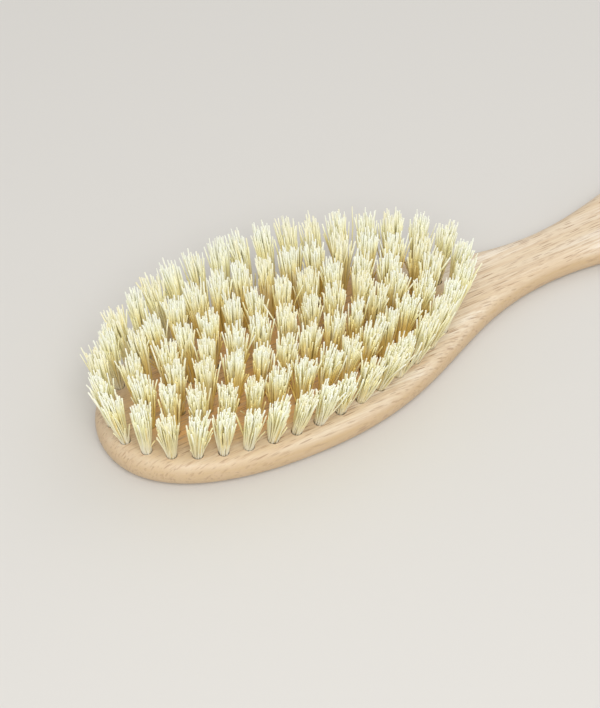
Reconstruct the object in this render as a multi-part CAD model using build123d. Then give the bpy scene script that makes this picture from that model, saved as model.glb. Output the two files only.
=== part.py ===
from build123d import *

import math
import os

# Body dry brush: a one-piece beech back with a handle, lying on its flat back with the tufts up.
# Every tuft is a bundle of plant fibre, folded over a short flat wire and driven into a blind hole.
#
# Frame, in millimetres: the origin is on the flat back, under the middle of the tuft field.
# +X runs from the head to the handle, +Z points out of the tufted face.

# Wooden back, seen from above: half-widths at the places that shape the outline.
NOSE_X = -63.0
HEAD_X = -1.0
HEAD_HALF_WIDTH = 33.0
NECK_X = 96.0
NECK_HALF_WIDTH = 8.9
GRIP_X = 166.0
GRIP_HALF_WIDTH = 20.0
TAIL_X = 187.0
END_FULLNESS = 0.62

# Wooden back, seen from the side.
BOARD_THICKNESS = 9.0
FACE_EDGE_RADIUS = 4.4
BACK_EDGE_RADIUS = 4.0

# Tuft holes and tufts.
HOLE_RADIUS = 1.7
HOLE_DEPTH = 6.0
DRILL_POINT_HEIGHT = 0.8
TUFT_STEM_RADIUS = 1.6
TUFT_STEM_DEPTH = 5.9
TUFT_TIP_RADIUS = 3.4
TUFT_HEIGHT = 22.4
TRIM_Z = BOARD_THICKNESS + TUFT_HEIGHT

# The fibres fan out past the edge of the head: how far a tip at the rim stands outside its hole.
SPLAY_LENGTHWISE = 3.3
SPLAY_CROSSWISE = 6.8
FIELD_HALF_LENGTH = 58.2
FIELD_HALF_WIDTH = 26.8

# Flat anchor wire that holds each tuft down.
WIRE_LENGTH = 3.34
WIRE_THICKNESS = 0.3
WIRE_WIDTH = 1.4
WIRE_DEPTH = 4.9
WIRE_CLEARANCE = 0.03

# Tuft rows: three egg-shaped rings that narrow towards the neck, and one straight row inside.
# Each ring: name, middle in X, half length, half width, taper, number of tufts, start in pitches.
RINGS = [
    ("outer", -0.3, FIELD_HALF_LENGTH, FIELD_HALF_WIDTH, 0.11, 36, 0.6),
    ("middle", -0.3, 49.0, 18.0, 0.11, 28, 0.4),
    ("inner", -0.8, 39.5, 9.1, 0.10, 20, 0.4),
]
CENTRE_ROW_COUNT = 7
CENTRE_ROW_PITCH = 8.6
CENTRE_ROW_X = -0.5
RING_STEPS = 720


def ring_point(middle, half_length, half_width, taper, angle):
    """A point of an egg-shaped ring; angle 0 is at the nose, and it runs towards -Y first."""
    along = -math.cos(angle)
    across = -math.sin(angle) * (1.0 - taper * along)
    return middle + half_length * along, half_width * across


def ring_places(middle, half_length, half_width, taper, count, start):
    """Evenly pitched places round a ring, measured along its length."""
    points = [
        ring_point(middle, half_length, half_width, taper, 2.0 * math.pi * step / RING_STEPS)
        for step in range(RING_STEPS + 1)
    ]
    lengths = [0.0]
    for before, after in zip(points, points[1:]):
        lengths.append(lengths[-1] + math.dist(before, after))
    places = []
    step = 0
    for number in range(count):
        wanted = (number + start) / count * lengths[-1]
        while lengths[step + 1] < wanted:
            step += 1
        share = (wanted - lengths[step]) / (lengths[step + 1] - lengths[step])
        near, far = points[step], points[step + 1]
        places.append((near[0] + share * (far[0] - near[0]), near[1] + share * (far[1] - near[1])))
    return places


def sector(x, y):
    """Which part of a ring a place belongs to."""
    if abs(y) / FIELD_HALF_WIDTH > abs(x) / FIELD_HALF_LENGTH:
        return "left_side" if y > 0 else "right_side"
    return "nose_end" if x < 0 else "neck_end"


def tuft_groups():
    """Name of each group of tufts, with the places of its holes on the face."""
    groups = {}
    for name, *ring in RINGS:
        for place in ring_places(*ring):
            groups.setdefault(f"{name}_{sector(*place)}", []).append(place)
    first = CENTRE_ROW_X - CENTRE_ROW_PITCH * (CENTRE_ROW_COUNT - 1) / 2.0
    groups["centre_row"] = [(first + CENTRE_ROW_PITCH * n, 0.0) for n in range(CENTRE_ROW_COUNT)]
    return groups


def tuft_plane(x, y):
    """Plane at the mouth of a tuft's hole, with its Z along the leaning tuft."""
    along = x / FIELD_HALF_LENGTH
    across = y / FIELD_HALF_WIDTH
    lean_x = SPLAY_LENGTHWISE * along * abs(along)
    lean_y = SPLAY_CROSSWISE * across * (0.6 + 0.4 * abs(across))
    return Plane(
        origin=(x, y, BOARD_THICKNESS),
        x_dir=(1, 0, -lean_x / TUFT_HEIGHT),
        z_dir=(lean_x, lean_y, TUFT_HEIGHT),
    )


def turned(profile_points):
    """Solid of revolution about Z from its half profile."""
    return revolve(Plane.XZ * make_face(Polyline(*profile_points, close=True)), Axis.Z)


def hole_cutter():
    """Blind hole with the cone that a drill leaves, open past the face."""
    return turned([
        (0, 2.0),
        (HOLE_RADIUS, 2.0),
        (HOLE_RADIUS, -HOLE_DEPTH),
        (0, -HOLE_DEPTH - DRILL_POINT_HEIGHT),
    ])


def anchor_wire():
    """Flat wire that lies across a hole near its bottom."""
    return Pos(0, 0, -WIRE_DEPTH) * Box(WIRE_LENGTH, WIRE_THICKNESS, WIRE_WIDTH)


def tuft_blank():
    """Fibre bundle with its wire slot, longer than needed, to be trimmed level."""
    slack = 3.0
    bundle = turned([
        (0, -TUFT_STEM_DEPTH),
        (TUFT_STEM_RADIUS, -TUFT_STEM_DEPTH),
        (TUFT_STEM_RADIUS, 0.5),
        (TUFT_TIP_RADIUS, TUFT_HEIGHT),
        (TUFT_TIP_RADIUS, TUFT_HEIGHT + slack),
        (0, TUFT_HEIGHT + slack),
    ])
    slot = Box(
        2.0 * HOLE_RADIUS,
        WIRE_THICKNESS + 2.0 * WIRE_CLEARANCE,
        WIRE_WIDTH + 2.0 * WIRE_CLEARANCE,
    )
    return bundle - Pos(0, 0, -WIRE_DEPTH) * slot


def back_outline():
    """Closed outline of the wooden back on its flat side."""
    head_length = HEAD_X - NOSE_X
    tail_length = TAIL_X - GRIP_X
    nose = Bezier(
        (NOSE_X, 0),
        (NOSE_X, END_FULLNESS * HEAD_HALF_WIDTH),
        (HEAD_X - END_FULLNESS * head_length, HEAD_HALF_WIDTH),
        (HEAD_X, HEAD_HALF_WIDTH),
    )
    flank = Spline(
        (HEAD_X, HEAD_HALF_WIDTH),
        (HEAD_X + 36, 26.7),
        (HEAD_X + 54, 19.1),
        (HEAD_X + 72, 12.2),
        (NECK_X, NECK_HALF_WIDTH),
        (NECK_X + 14, 10.2),
        (NECK_X + 30, 13.7),
        (NECK_X + 44, 16.7),
        (NECK_X + 56, 18.9),
        (GRIP_X, GRIP_HALF_WIDTH),
        tangents=[(1, 0), (1, 0)],
    )
    tail = Bezier(
        (GRIP_X, GRIP_HALF_WIDTH),
        (GRIP_X + END_FULLNESS * tail_length, GRIP_HALF_WIDTH),
        (TAIL_X, END_FULLNESS * GRIP_HALF_WIDTH),
        (TAIL_X, 0),
    )
    half = [nose, flank, tail]
    return make_face(half + [mirror(curve, Plane.XZ) for curve in half])


def brush_back(places):
    """One-piece wooden head and handle with a blind hole for every tuft."""
    back = extrude(back_outline(), BOARD_THICKNESS)
    back = fillet(back.faces().sort_by(Axis.Z)[-1].edges(), FACE_EDGE_RADIUS)
    back = fillet(back.faces().sort_by(Axis.Z)[0].edges(), BACK_EDGE_RADIUS)
    cutter = hole_cutter()
    return back - [tuft_plane(*place) * cutter for place in places]


def trimmed_tufts(places):
    """The tufts of one group, cut level at their tips."""
    room = 4.0 * FIELD_HALF_LENGTH
    blank = tuft_blank()
    keep = Pos(0, 0, TRIM_Z - room / 2.0) * Box(room, room, room)
    return Compound(children=[(tuft_plane(*place) * blank & keep).solid() for place in places])


def anchor_wires(places):
    """The anchor wires of one group."""
    wire = anchor_wire()
    return Compound(children=[(tuft_plane(*place) * wire).solid() for place in places])


os.makedirs("parts", exist_ok=True)
groups = tuft_groups()
every_place = [place for places in groups.values() for place in places]
export_step(brush_back(every_place), "parts/brush_back.step")
for group, places in groups.items():
    export_step(trimmed_tufts(places), f"parts/tufts_{group}.step")
    export_step(anchor_wires(places), f"parts/anchors_{group}.step")
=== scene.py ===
import math

import bpy
import numpy as np
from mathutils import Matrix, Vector


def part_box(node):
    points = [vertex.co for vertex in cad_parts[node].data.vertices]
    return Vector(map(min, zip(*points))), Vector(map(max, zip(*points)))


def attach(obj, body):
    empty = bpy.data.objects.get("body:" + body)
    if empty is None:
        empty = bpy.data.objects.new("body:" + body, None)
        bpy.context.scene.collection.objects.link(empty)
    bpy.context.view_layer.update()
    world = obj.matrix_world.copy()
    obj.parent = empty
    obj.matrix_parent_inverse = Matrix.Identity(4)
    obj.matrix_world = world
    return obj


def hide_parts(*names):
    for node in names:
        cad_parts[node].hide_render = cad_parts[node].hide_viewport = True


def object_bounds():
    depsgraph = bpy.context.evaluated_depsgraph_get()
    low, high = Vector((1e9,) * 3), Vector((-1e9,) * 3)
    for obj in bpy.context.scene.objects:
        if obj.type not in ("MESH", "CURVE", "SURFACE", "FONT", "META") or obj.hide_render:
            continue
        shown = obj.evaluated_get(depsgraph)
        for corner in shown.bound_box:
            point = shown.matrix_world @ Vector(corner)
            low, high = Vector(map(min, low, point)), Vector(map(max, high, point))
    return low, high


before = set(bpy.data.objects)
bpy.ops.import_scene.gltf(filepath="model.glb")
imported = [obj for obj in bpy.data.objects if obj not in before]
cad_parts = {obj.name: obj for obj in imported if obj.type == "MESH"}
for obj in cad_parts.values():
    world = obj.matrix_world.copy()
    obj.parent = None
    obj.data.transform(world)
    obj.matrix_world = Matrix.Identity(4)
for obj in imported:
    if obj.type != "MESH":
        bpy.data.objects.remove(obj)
cad_low, cad_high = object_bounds()

MM = 0.001
RNG = np.random.default_rng(20261117)

# Places taken from the CAD frame, in metres. The origin is under the middle of the tuft field,
# +X runs from the nose to the handle, and the tufts stand up along +Z.
BACK = "brush_back"
back_low, back_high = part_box(BACK)
FACE_Z = back_high.z
TRIM_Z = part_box("tufts_centre_row")[1].z
TUFT_HEIGHT = TRIM_Z - FACE_Z

# Tuft field: half its length and half its width, to the outer ring of holes.
FIELD_HALF_LENGTH = 58.2 * MM
FIELD_HALF_WIDTH = 26.8 * MM

# Camera: out past the nose and to the -Y side, looking down on the face.
VIEW_AZIMUTH = math.radians(-29.95)
VIEW_ELEVATION = math.radians(48.18)
VIEW_DISTANCE = 0.6749
AIM_FROM_NOSE = 0.0671
AIM_Y = -0.0007
LENS_MM = 112.0
SENSOR_MM = 36.0

# Floor.
FLOOR_HALF_SIZE = 3.0
FLOOR_GAP = 0.05 * MM
FLOOR_COLOUR = (0.68, 0.665, 0.64, 1.0)
FLOOR_ROUGHNESS = 0.75

# Lights: place from the object's middle, size of the square and power.
KEY_PLACE = Vector((-0.32, -0.56, 0.86))
KEY_SIZE = 0.6
KEY_POWER = 6.5
FILL_PLACE = Vector((0.6, 0.2, 0.9))
FILL_SIZE = 0.9
FILL_POWER = 1.5
LIGHT_COLOUR = (1.0, 0.99, 0.97)
SURROUND_STRENGTH = 0.6

# Beech: repeats of each pattern per metre along X (the grain), Y and Z.
BROAD_GRAIN = (14.0, 190.0, 190.0)
STREAK_GRAIN = (38.0, 1300.0, 1300.0)
LINE_GRAIN = (90.0, 1700.0, 1000.0)
PORE_GRAIN = (260.0, 5200.0, 5200.0)
LONG_FLECKS = (120.0, 1500.0, 400.0)
FINE_FLECKS = (220.0, 2600.0, 700.0)

# Flecks: share of a fleck's reach that is full dark, fade between kept and dropped, faintest one.
FLECK_CORE = 0.6
FLECK_FADE = 0.05
FLECK_FAINTEST = 0.35

# Beech colours.
WOOD_PALE = (0.89, 0.81, 0.69, 1.0)
WOOD_WARM = (0.77, 0.63, 0.45, 1.0)
# Rounded edges: partly the beech's own darker edge tone, partly painted shade.
WOOD_EDGE_TONE_AND_SHADE = (0.62, 0.44, 0.24, 1.0)
# Painted shade: the wood darkens towards the nose.
WOOD_NOSE_SHADE = (0.64, 0.48, 0.29, 1.0)
# Painted golden shade on the face under the tufts, for light bounced among the fibres.
WOOD_SHADE_UNDER_TUFTS = (0.90, 0.55, 0.22, 1.0)
WOOD_STREAK = (0.67, 0.50, 0.33, 1.0)
WOOD_LINE = (0.48, 0.33, 0.21, 1.0)
WOOD_FLECK = (0.40, 0.25, 0.15, 1.0)
WOOD_PORE = (0.45, 0.31, 0.19, 1.0)
# Where the painted shade towards the nose begins.
NOSE_SHADE_START_X = 0.02
WOOD_RELIEF = 0.06 * MM

# Plant fibre colours: by height, from the face (0) to the cut tips (1), and the tints over them.
FIBRE_BY_HEIGHT = (
    (0.0, (0.92, 0.89, 0.76, 1.0)),
    (0.3, (0.95, 0.90, 0.60, 1.0)),
    (0.7, (0.96, 0.94, 0.60, 1.0)),
    (1.0, (0.93, 0.95, 0.85, 1.0)),
)
# Painted golden shade low inside the tufts and the field, for light passing through and between the
# fibres.
FIBRE_GOLDEN_SHADE = (1.0, 0.74, 0.19, 1.0)
FIBRE_PALE = (0.95, 0.93, 0.80, 1.0)
FIBRE_GOLDEN = (0.92, 0.79, 0.38, 1.0)
FIBRE_STRAW = (0.92, 0.82, 0.46, 1.0)
FIBRE_MOTTLE = (0.84, 0.72, 0.38, 1.0)
MOTTLE_GRAIN = (1800.0, 1800.0, 420.0)
RIDGE_GRAIN = (9000.0, 9000.0, 700.0)
FIBRE_RELIEF = 0.02 * MM

# Anchor wire.
SCRATCH_GRAIN = (900.0, 900.0, 24000.0)
STEEL_DARK = (0.42, 0.42, 0.41, 1.0)
STEEL_LIGHT = (0.66, 0.66, 0.64, 1.0)

# Colour attribute of the fibres: red is the fibre's own tone, green its height over the face, blue the
# tone of its tuft, and alpha how deep it stands inside its tuft or the field, which sets its painted
# golden shade.
FIBRE_FACTS = "fibre"

# Reading the CAD tufts: decimals that weld their vertices, and how near the trim plane a tip is.
WELD_DECIMALS = 7
TRIM_TOLERANCE = 0.01 * MM

# Fibres of a tuft. Each is folded under the wire, so it has two legs with a cut tip each.
STRANDS_PER_TUFT = 54
STRAND_SIDES = 5
STRAND_RADIUS = 0.27 * MM
STRAND_RADIUS_SPREAD = (0.7, 1.2)
ROOT_RADIUS = 1.46 * MM
LEG_STEPS = np.array([0.0, 0.18, 0.42, 0.72, 1.0])
TIP_TO_ROOT_TAPER = np.array([0.8, 1.0, 0.95, 0.85, 0.75])
FLARE_POWER = 1.15
WAVE = 0.24 * MM

# Tips: they fan out from the roots, lean together and gather in clumps.
TIP_SPREAD = 2.2
TUFT_SPREAD_RANGE = (0.88, 1.15)
TIP_SPREAD_RANGE = (0.75, 1.22)
TUFT_LEAN = 0.45 * MM
CLUMPS_PER_TUFT = 8
CLUMP_FIELD = 0.85
CLUMP_PULL = 0.7
TIP_NOISE = 0.45 * MM
HEIGHT_OFFSET = -0.3 * MM
HEIGHT_NOISE = 0.95 * MM
HIGHEST_OVER_TRIM = 1.6 * MM

# Legs out of line: strays lean away, short ones end below the trim plane, broken ones are stumps.
STRAY_SHARE = 0.09
STRAY_NOISE = 1.7 * MM
STRAY_DROP = 1.5 * MM
STRAY_WAVE = 2.2
SHORT_SHARE = 0.56
SHORT_DROP = (0.8 * MM, 8.0 * MM)
BROKEN_SHARE = 0.035
BROKEN_HEIGHT = (0.25, 0.7)
BROKEN_SPREAD = (0.8, 1.5)
BROKEN_NOISE = 0.9 * MM
BROKEN_WAVE = 0.6

# The fold, below the mouth of the hole: three points, beside, under and beside the wire.
FOLD_CROSSING = 0.3
FOLD_HALF_WIDTH = 0.36 * MM
FOLD_HALF_WIDTH_RANGE = 0.9 * MM
FOLD_SIDE_DEPTH = 4.5 * MM
FOLD_BOTTOM_DEPTH = 5.8 * MM
FOLD_BOTTOM_RANGE = 0.3 * MM
FOLD_TAPER = np.array([0.7, 0.7, 0.7])

# Depth, which sets a fibre's painted golden shade: it grows to 1 inside the edge of the field, and at the
# middle of a tuft it is at least CORE_DEPTH, falling to nothing at CORE_EDGE of the root radius.
FIELD_EDGE = 1.02
FIELD_FADE = 0.16
CORE_EDGE = 0.85
CORE_FADE = 0.35
CORE_DEPTH = 0.65


# ----------------------------------------------------------------------------------------------
# Camera, floor and light


def make_camera():
    """Camera on the viewing direction, aimed near the middle of the tuft field."""
    data = bpy.data.cameras.new("camera")
    data.lens = LENS_MM
    data.sensor_width = SENSOR_MM
    camera = bpy.data.objects.new("camera", data)
    bpy.context.scene.collection.objects.link(camera)
    toward_camera = Vector((
        math.sin(VIEW_AZIMUTH) * math.cos(VIEW_ELEVATION),
        -math.cos(VIEW_AZIMUTH) * math.cos(VIEW_ELEVATION),
        math.sin(VIEW_ELEVATION),
    ))
    aim = Vector((back_low.x + AIM_FROM_NOSE, AIM_Y, FACE_Z))
    camera.location = aim + toward_camera * VIEW_DISTANCE
    camera.rotation_mode = "QUATERNION"
    camera.rotation_quaternion = (-toward_camera).to_track_quat("-Z", "Y")
    bpy.context.scene.camera = camera


def make_floor():
    """Plain pale floor just under the flat back."""
    half = FLOOR_HALF_SIZE
    mesh = bpy.data.meshes.new("floor")
    corners = [(-half, -half, 0.0), (half, -half, 0.0), (half, half, 0.0), (-half, half, 0.0)]
    mesh.from_pydata(corners, [], [(0, 1, 2, 3)])
    floor = bpy.data.objects.new("floor", mesh)
    floor.location.z = cad_low.z - FLOOR_GAP
    bpy.context.scene.collection.objects.link(floor)
    material, _, surface = new_material("floor_paper")
    surface.inputs["Base Color"].default_value = FLOOR_COLOUR
    surface.inputs["Roughness"].default_value = FLOOR_ROUGHNESS
    floor.data.materials.append(material)


def add_area_light(name, place, size, power):
    """Square soft box at a place from the object's middle, facing it."""
    middle = (cad_low + cad_high) / 2
    location = middle + place
    data = bpy.data.lights.new(name, "AREA")
    data.shape = "SQUARE"
    data.size = size
    data.energy = power
    data.color = LIGHT_COLOUR
    light = bpy.data.objects.new(name, data)
    light.location = location
    light.rotation_mode = "QUATERNION"
    light.rotation_quaternion = (middle - location).to_track_quat("-Z", "Y")
    bpy.context.scene.collection.objects.link(light)


def make_lights():
    """Soft key high past the nose, a weaker fill high over the handle, and a pale surround."""
    add_area_light("key", KEY_PLACE, KEY_SIZE, KEY_POWER)
    add_area_light("fill", FILL_PLACE, FILL_SIZE, FILL_POWER)
    world = bpy.data.worlds.new("surround")
    world.use_nodes = True
    background = world.node_tree.nodes["Background"]
    background.inputs["Color"].default_value = (*LIGHT_COLOUR, 1.0)
    background.inputs["Strength"].default_value = SURROUND_STRENGTH
    bpy.context.scene.world = world
    bpy.context.scene.view_settings.view_transform = "Standard"


# ----------------------------------------------------------------------------------------------
# Shader helpers


def new_material(name):
    """A material with one Principled surface, its node tree and that surface."""
    material = bpy.data.materials.new(name)
    material.use_nodes = True
    tree = material.node_tree
    return material, tree, tree.nodes["Principled BSDF"]


def add_node(tree, kind, inputs=(), **settings):
    """Adds a node; inputs are (socket, value or another node's output) pairs."""
    node = tree.nodes.new(kind)
    for name, value in settings.items():
        setattr(node, name, value)
    for socket, value in inputs:
        if isinstance(value, bpy.types.NodeSocket):
            tree.links.new(value, node.inputs[socket])
        else:
            node.inputs[socket].default_value = value
    return node


def stretched(tree, coordinates, scale):
    """Coordinates scaled along each axis, per metre."""
    return add_node(
        tree, "ShaderNodeMapping", [("Vector", coordinates), ("Scale", scale)]
    ).outputs["Vector"]


def noise(tree, coordinates, scale, detail, roughness=0.55):
    """Fractal noise from 0 to 1, with a scale for each axis."""
    return add_node(
        tree,
        "ShaderNodeTexNoise",
        [
            ("Vector", stretched(tree, coordinates, scale)),
            ("Scale", 1.0),
            ("Detail", detail),
            ("Roughness", roughness),
        ],
    ).outputs["Fac"]


def remap(tree, value, low, high, to_low=0.0, to_high=1.0, smooth=True):
    """Value from one range to another, clamped."""
    return add_node(
        tree,
        "ShaderNodeMapRange",
        [("Value", value), ("From Min", low), ("From Max", high), ("To Min", to_low), ("To Max", to_high)],
        interpolation_type="SMOOTHSTEP" if smooth else "LINEAR",
    ).outputs["Result"]


def maths(tree, operation, first, second):
    """One arithmetic step."""
    return add_node(
        tree, "ShaderNodeMath", [(0, first), (1, second)], operation=operation
    ).outputs[0]


def mix_colour(tree, factor, first, second):
    """Mixes two colours; each is a colour or another node's output."""
    node = add_node(tree, "ShaderNodeMix", data_type="RGBA", blend_type="MIX")
    for socket, value in (("Factor_Float", factor), ("A_Color", first), ("B_Color", second)):
        target = next(s for s in node.inputs if s.identifier == socket)
        if isinstance(value, bpy.types.NodeSocket):
            tree.links.new(value, target)
        else:
            target.default_value = value
    return next(s for s in node.outputs if s.identifier == "Result_Color")


def add_relief(tree, surface, height, strength, distance):
    """Bump of a surface from a height."""
    bump = add_node(
        tree, "ShaderNodeBump", [("Strength", strength), ("Distance", distance), ("Height", height)]
    )
    tree.links.new(bump.outputs["Normal"], surface.inputs["Normal"])


def flecks(tree, coordinates, scale, reach, share):
    """Short dashes along the grain: one per cell of a stretched cell pattern, in some cells only."""
    cells = add_node(
        tree,
        "ShaderNodeTexVoronoi",
        [("Vector", stretched(tree, coordinates, scale)), ("Scale", 1.0), ("Randomness", 1.0)],
        feature="F1",
    )
    chance = add_node(tree, "ShaderNodeSeparateColor", [("Color", cells.outputs["Color"])])
    dash = remap(tree, cells.outputs["Distance"], reach, reach * FLECK_CORE)
    kept = remap(tree, chance.outputs["Red"], 1.0 - share, 1.0 - share + FLECK_FADE)
    strength = remap(tree, chance.outputs["Green"], 0.0, 1.0, FLECK_FAINTEST, 1.0, smooth=False)
    return maths(tree, "MULTIPLY", maths(tree, "MULTIPLY", dash, kept), strength)


# ----------------------------------------------------------------------------------------------
# Materials


def beech_ground(tree, place, upward, flatness, streak):
    """Beech before its lines, flecks and pores, with painted shade on its rounded edges (partly their own
    tone), towards the nose and under the tufts; flatness is 1 on level faces and 0 on upright ones.
    """
    broad = noise(tree, place, BROAD_GRAIN, detail=3.0, roughness=0.5)
    ground = mix_colour(tree, remap(tree, broad, 0.32, 0.68), WOOD_WARM, WOOD_PALE)
    # Upright and rounded faces darken: partly the wood's own edge tone, partly painted shade.
    ground = mix_colour(tree, remap(tree, flatness, 0.95, 0.3, 0.0, 0.9), ground, WOOD_EDGE_TONE_AND_SHADE)
    along = add_node(tree, "ShaderNodeSeparateXYZ", [("Vector", place)]).outputs["X"]
    # Painted shade, growing from its start place towards the nose.
    nose = remap(tree, along, NOSE_SHADE_START_X, back_low.x, 0.0, 0.65)
    ground = mix_colour(tree, nose, ground, WOOD_NOSE_SHADE)
    # Painted golden shade on the upward face inside the tuft field.
    oval = stretched(tree, place, (1.0 / FIELD_HALF_LENGTH, 1.0 / FIELD_HALF_WIDTH, 0.0))
    reach = add_node(tree, "ShaderNodeVectorMath", [(0, oval)], operation="LENGTH").outputs["Value"]
    tuft_shade = maths(tree, "MULTIPLY", remap(tree, reach, 1.0, 0.8), remap(tree, upward, 0.8, 0.95))
    ground = mix_colour(tree, maths(tree, "MULTIPLY", tuft_shade, 0.9), ground, WOOD_SHADE_UNDER_TUFTS)
    return mix_colour(tree, remap(tree, streak, 0.38, 0.68, 0.0, 0.75), ground, WOOD_STREAK)


def beech_flecks(tree, place, flatness):
    """Long and fine flecks together, fainter on the rounded edges."""
    long_flecks = flecks(tree, place, LONG_FLECKS, reach=0.34, share=0.58)
    fine_flecks = flecks(tree, place, FINE_FLECKS, reach=0.36, share=0.5)
    both = maths(tree, "MAXIMUM", long_flecks, maths(tree, "MULTIPLY", fine_flecks, 0.75))
    return maths(tree, "MULTIPLY", both, remap(tree, flatness, 0.4, 0.95, 0.4, 1.0))


def beech_material():
    """Fine sanded beech with streaks, thin lines, short dark flecks and fine pores along the grain, and
    painted shade on its edges, towards the nose and under the tufts.
    """
    material, tree, surface = new_material("beech")
    coordinates = add_node(tree, "ShaderNodeTexCoord")
    place = coordinates.outputs["Object"]
    upward = add_node(
        tree, "ShaderNodeSeparateXYZ", [("Vector", coordinates.outputs["Normal"])]
    ).outputs["Z"]
    flatness = maths(tree, "ABSOLUTE", upward, 0.0)
    streak = noise(tree, place, STREAK_GRAIN, detail=4.0, roughness=0.6)
    line = noise(tree, place, LINE_GRAIN, detail=2.0, roughness=0.5)
    pore = noise(tree, place, PORE_GRAIN, detail=2.0, roughness=0.6)
    marks = beech_flecks(tree, place, flatness)
    coloured = beech_ground(tree, place, upward, flatness, streak)
    coloured = mix_colour(tree, remap(tree, line, 0.56, 0.70, 0.0, 0.6), coloured, WOOD_LINE)
    coloured = mix_colour(tree, maths(tree, "MULTIPLY", marks, 0.95), coloured, WOOD_FLECK)
    coloured = mix_colour(tree, remap(tree, pore, 0.45, 0.85, 0.0, 0.22), coloured, WOOD_PORE)
    tree.links.new(coloured, surface.inputs["Base Color"])
    tree.links.new(remap(tree, streak, 0.2, 0.8, 0.34, 0.48), surface.inputs["Roughness"])
    surface.inputs["Specular IOR Level"].default_value = 0.5
    relief = maths(tree, "SUBTRACT", maths(tree, "MULTIPLY", pore, 0.6), marks)
    add_relief(tree, surface, relief, strength=0.35, distance=WOOD_RELIEF)
    return material


def fibre_by_height(tree, height):
    """Colour of a fibre from the face up to its cut tip."""
    ramp = add_node(tree, "ShaderNodeValToRGB", [("Fac", height)])
    elements = ramp.color_ramp.elements
    while len(elements) < len(FIBRE_BY_HEIGHT):
        elements.new(0.5)
    for element, (position, colour) in zip(elements, FIBRE_BY_HEIGHT):
        element.position = position
        element.color = colour
    return ramp.outputs["Color"]


def fibre_material():
    """Bleached plant fibre with painted golden shade low inside the tufts and the field, paler towards the
    cut tips, with fine ridges.
    """
    material, tree, surface = new_material("plant_fibre")
    facts = add_node(tree, "ShaderNodeAttribute", attribute_name=FIBRE_FACTS)
    parts = add_node(tree, "ShaderNodeSeparateColor", [("Color", facts.outputs["Color"])])
    tone, height, bundle = (parts.outputs[part] for part in ("Red", "Green", "Blue"))
    # Painted golden shade: strongest low down and deep inside a tuft or the field.
    deep = maths(tree, "MULTIPLY", remap(tree, height, 0.95, 0.35), facts.outputs["Alpha"])
    coloured = fibre_by_height(tree, height)
    coloured = mix_colour(tree, maths(tree, "MULTIPLY", deep, 0.9), coloured, FIBRE_GOLDEN_SHADE)
    coloured = mix_colour(tree, remap(tree, tone, 0.5, 1.0, 0.0, 0.5), coloured, FIBRE_PALE)
    coloured = mix_colour(tree, remap(tree, tone, 0.32, 0.0, 0.0, 0.4), coloured, FIBRE_GOLDEN)
    coloured = mix_colour(tree, remap(tree, bundle, 0.3, 1.0, 0.0, 0.22), coloured, FIBRE_STRAW)
    place = add_node(tree, "ShaderNodeTexCoord").outputs["Object"]
    mottle = noise(tree, place, MOTTLE_GRAIN, detail=3.0)
    coloured = mix_colour(tree, remap(tree, mottle, 0.5, 0.8, 0.0, 0.22), coloured, FIBRE_MOTTLE)
    tree.links.new(coloured, surface.inputs["Base Color"])
    tree.links.new(remap(tree, mottle, 0.2, 0.8, 0.36, 0.52), surface.inputs["Roughness"])
    surface.inputs["Specular IOR Level"].default_value = 0.35
    ridges = noise(tree, place, RIDGE_GRAIN, detail=2.0)
    add_relief(tree, surface, ridges, strength=0.25, distance=FIBRE_RELIEF)
    return material


def wire_material():
    """Drawn steel wire with fine lengthwise scratches."""
    material, tree, surface = new_material("anchor_wire")
    place = add_node(tree, "ShaderNodeTexCoord").outputs["Object"]
    scratch = noise(tree, place, SCRATCH_GRAIN, detail=3.0)
    tree.links.new(mix_colour(tree, scratch, STEEL_DARK, STEEL_LIGHT), surface.inputs["Base Color"])
    tree.links.new(remap(tree, scratch, 0.2, 0.8, 0.28, 0.5), surface.inputs["Roughness"])
    surface.inputs["Metallic"].default_value = 1.0
    return material


# ----------------------------------------------------------------------------------------------
# Fibre tufts


def solids_of(node):
    """Vertex places of each separate solid in a CAD node, from its welded mesh."""
    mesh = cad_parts[node].data
    points = np.array([v.co for v in mesh.vertices], float)
    keys = {}
    welded = np.array([keys.setdefault(tuple(np.round(p, WELD_DECIMALS)), len(keys)) for p in points])
    parent = list(range(len(keys)))

    def root(item):
        while parent[item] != item:
            parent[item] = parent[parent[item]]
            item = parent[item]
        return item

    for polygon in mesh.polygons:
        corners = [root(welded[v]) for v in polygon.vertices]
        for other in corners[1:]:
            parent[root(other)] = root(corners[0])
    groups = {}
    for index, key in enumerate(welded):
        groups.setdefault(root(key), []).append(index)
    return [points[members] for members in groups.values()]


def tuft_axes(group):
    """For each tuft of a group: its mouth on the face, and its own X (along the wire), Y and Z."""
    wires = solids_of(f"anchors_{group}")
    centres = np.array([(wire.min(0) + wire.max(0)) / 2 for wire in wires])
    axes = []
    for tuft in solids_of(f"tufts_{group}"):
        tips = tuft[tuft[:, 2] > TRIM_Z - TRIM_TOLERANCE]
        top = (tips.min(0) + tips.max(0)) / 2
        nearest = np.argmin(np.linalg.norm(centres[:, :2] - tuft.mean(0)[:2], axis=1))
        along = top - centres[nearest]
        along /= np.linalg.norm(along)
        mouth = centres[nearest] + along * (FACE_Z - centres[nearest][2]) / along[2]
        cross = np.cross(along, (1.0, 0.0, 0.0))
        cross /= np.linalg.norm(cross)
        axes.append((mouth, np.cross(cross, along), cross, along))
    return axes


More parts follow.
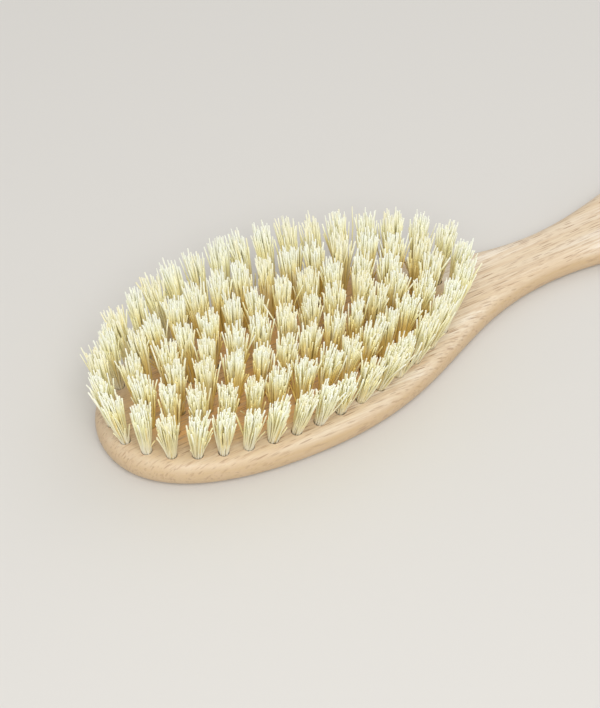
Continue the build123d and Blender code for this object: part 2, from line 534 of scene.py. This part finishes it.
def leg_ends(side, clumps, spread, lean):
    """Roots, tips, heights and bends of the legs on one side of the wire, in the tuft's own frame."""
    count = STRANDS_PER_TUFT
    angle = RNG.uniform(0.0, math.pi, count)
    radius = ROOT_RADIUS * np.sqrt(RNG.uniform(0.0, 1.0, count))
    root = np.stack([radius * np.cos(angle), side * radius * np.sin(angle)], -1)
    tip = root * spread * RNG.uniform(*TIP_SPREAD_RANGE, (count, 1)) + lean
    nearest = np.argmin(np.linalg.norm(tip[:, None] - clumps[None], axis=2), axis=1)
    tip += (clumps[nearest] - tip) * RNG.uniform(0.0, CLUMP_PULL, (count, 1))
    tip += RNG.normal(0.0, TIP_NOISE, (count, 2))
    height = TUFT_HEIGHT + RNG.normal(HEIGHT_OFFSET, HEIGHT_NOISE, count)
    chance = RNG.uniform(0.0, 1.0, count)
    stray = chance < STRAY_SHARE
    tip[stray] += RNG.normal(0.0, STRAY_NOISE, (stray.sum(), 2))
    height[stray] -= RNG.uniform(0.0, STRAY_DROP, stray.sum())
    short = (chance > STRAY_SHARE) & (chance < STRAY_SHARE + SHORT_SHARE)
    height[short] -= RNG.uniform(*SHORT_DROP, short.sum())
    height = np.minimum(height, TUFT_HEIGHT + HIGHEST_OVER_TRIM)
    broken = chance > 1.0 - BROKEN_SHARE
    height[broken] *= RNG.uniform(*BROKEN_HEIGHT, broken.sum())
    tip[broken] *= RNG.uniform(*BROKEN_SPREAD, (broken.sum(), 1))
    tip[broken] += RNG.normal(0.0, BROKEN_NOISE, (broken.sum(), 2))
    wave = RNG.normal(0.0, WAVE, (count, 2))
    wave[stray] *= STRAY_WAVE
    wave[broken] *= BROKEN_WAVE
    return root, tip, height, wave


def bent_legs(side, clumps, spread, lean, axes):
    """Centre lines of the legs on one side, root first, with the depth of each leg in its tuft."""
    _, along_wire, across, up = axes
    root, tip, height, wave = leg_ends(side, clumps, spread, lean)
    reach = (height - tip @ np.array([along_wire[2], across[2]])) / up[2]
    share = LEG_STEPS[None, :, None]
    flat = root[:, None] + (tip - root)[:, None] * share**FLARE_POWER
    flat = flat + wave[:, None] * np.sin(math.pi * share)
    rise = reach[:, None] * LEG_STEPS[None]
    from_middle = np.linalg.norm(root, axis=1) / ROOT_RADIUS
    # Core depth gives the inner fibres of a tuft their painted golden shade.
    core = np.clip((CORE_EDGE - from_middle) / CORE_FADE, 0.0, CORE_DEPTH)
    return np.concatenate([flat, rise[..., None]], -1), core[:, None] * np.ones_like(rise)


def folds(left, right):
    """The three points of each fibre where it passes under the wire."""
    crossing = (left[:, 0, 0] + right[:, 0, 0]) * FOLD_CROSSING
    share = RNG.uniform(0.0, 1.0, STRANDS_PER_TUFT)
    width = FOLD_HALF_WIDTH + share * FOLD_HALF_WIDTH_RANGE
    level = np.full(STRANDS_PER_TUFT, -FOLD_SIDE_DEPTH)
    bottom = share * FOLD_BOTTOM_RANGE - FOLD_BOTTOM_DEPTH
    return np.stack([
        np.stack([crossing, width, level], -1),
        np.stack([crossing, np.zeros_like(width), bottom], -1),
        np.stack([crossing, -width, level], -1),
    ], 1)


def field_depth(places):
    """0 on the outside of the tuft field, 1 well inside it."""
    out = np.hypot(places[..., 0] / FIELD_HALF_LENGTH, places[..., 1] / FIELD_HALF_WIDTH)
    return np.clip((FIELD_EDGE - out) / FIELD_FADE, 0.0, 1.0)


def tubes(paths, radii, sideways):
    """Vertices, walls and flat ends of closed tubes: paths (n, rings, 3) and radii (n, rings)."""
    count, rings, _ = paths.shape
    tangent = np.gradient(paths, axis=1)
    tangent /= np.linalg.norm(tangent, axis=2, keepdims=True)
    first = sideways - tangent * (tangent @ sideways)[..., None]
    first /= np.linalg.norm(first, axis=2, keepdims=True)
    second = np.cross(tangent, first)
    turn = np.arange(STRAND_SIDES) * 2.0 * math.pi / STRAND_SIDES
    around = (
        first[:, :, None] * np.cos(turn)[None, None, :, None]
        + second[:, :, None] * np.sin(turn)[None, None, :, None]
    )
    points = paths[:, :, None] + around * radii[:, :, None, None]
    index = np.arange(count * rings * STRAND_SIDES).reshape(count, rings, STRAND_SIDES)
    after = np.roll(index, -1, axis=2)
    walls = np.stack([index[:, :-1], after[:, :-1], after[:, 1:], index[:, 1:]], -1).reshape(-1, 4)
    ends = np.concatenate([index[:, 0, ::-1], index[:, -1]])
    return points.reshape(-1, 3), walls, ends


def tuft_geometry(axes):
    """One tuft of folded fibres: its vertices, walls, ends and the colour facts of each vertex."""
    mouth, along_wire, across, up = axes
    spread = TIP_SPREAD * RNG.uniform(*TUFT_SPREAD_RANGE)
    lean = RNG.normal(0.0, TUFT_LEAN, 2)
    scatter = RNG.uniform(-1.0, 1.0, (CLUMPS_PER_TUFT, 2))
    clumps = lean + scatter * ROOT_RADIUS * spread * CLUMP_FIELD
    left, left_core = bent_legs(1.0, clumps, spread, lean, axes)
    right, right_core = bent_legs(-1.0, clumps, spread, lean, axes)
    fold = folds(left, right)

    # Each fibre runs from one cut tip down through the fold and up to the other.
    paths = np.concatenate([left[:, ::-1], fold, right], 1)
    world = mouth + paths[..., :1] * along_wire + paths[..., 1:2] * across + paths[..., 2:] * up
    size = STRAND_RADIUS * RNG.uniform(*STRAND_RADIUS_SPREAD, (STRANDS_PER_TUFT, 1))
    taper = np.concatenate([TIP_TO_ROOT_TAPER, FOLD_TAPER, TIP_TO_ROOT_TAPER[::-1]])
    points, walls, ends = tubes(world, size * taper[None], along_wire)

    height = np.clip(paths[..., 2] / TUFT_HEIGHT, 0.0, 1.0)
    tone = RNG.uniform(0.0, 1.0, (STRANDS_PER_TUFT, 1)) * np.ones_like(height)
    bundle = np.full_like(height, RNG.uniform())
    # Depth sets each fibre's painted golden shade.
    core = np.concatenate([left_core, np.ones_like(fold[..., 0]), right_core], 1)
    depth = np.maximum(field_depth(world), core)
    facts = np.stack([tone, height, bundle, depth], -1)
    return points, walls, ends, np.repeat(facts[:, :, None], STRAND_SIDES, axis=2).reshape(-1, 4)


def make_tufts(group, material):
    """All tufts of one CAD group as one mesh of real fibres."""
    tufts = [tuft_geometry(axes) for axes in tuft_axes(group)]
    firsts = np.cumsum([0] + [len(tuft[0]) for tuft in tufts[:-1]])
    points = np.concatenate([tuft[0] for tuft in tufts])
    walls = np.concatenate([tuft[1] + first for tuft, first in zip(tufts, firsts)])
    ends = np.concatenate([tuft[2] + first for tuft, first in zip(tufts, firsts)])
    facts = np.concatenate([tuft[3] for tuft in tufts])
    mesh = bpy.data.meshes.new(f"fibres_{group}")
    mesh.vertices.add(len(points))
    mesh.vertices.foreach_set("co", points.ravel())
    corners = np.concatenate([walls.ravel(), ends.ravel()])
    mesh.loops.add(len(corners))
    mesh.loops.foreach_set("vertex_index", corners)
    wall_starts = np.arange(len(walls)) * 4
    end_starts = walls.size + np.arange(len(ends)) * STRAND_SIDES
    mesh.polygons.add(len(walls) + len(ends))
    mesh.polygons.foreach_set("loop_start", np.concatenate([wall_starts, end_starts]))
    mesh.update(calc_edges=True)
    smooth = np.arange(len(mesh.polygons)) < len(walls)
    mesh.polygons.foreach_set("use_smooth", smooth)
    attribute = mesh.color_attributes.new(FIBRE_FACTS, "FLOAT_COLOR", "POINT")
    attribute.data.foreach_set("color", facts.ravel())
    mesh.materials.append(material)
    mesh.validate()
    piece = bpy.data.objects.new(f"fibres_{group}", mesh)
    bpy.context.scene.collection.objects.link(piece)
    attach(piece, "root")
    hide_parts(f"tufts_{group}")


def paint(node, material):
    """Gives a CAD node a better material."""
    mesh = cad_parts[node].data
    mesh.materials.clear()
    mesh.materials.append(material)


make_camera()
make_floor()
make_lights()
paint(BACK, beech_material())
steel = wire_material()
fibre = fibre_material()
for node in sorted(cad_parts):
    if node.startswith("anchors_"):
        paint(node, steel)
    elif node.startswith("tufts_"):
        make_tufts(node.removeprefix("tufts_"), fibre)
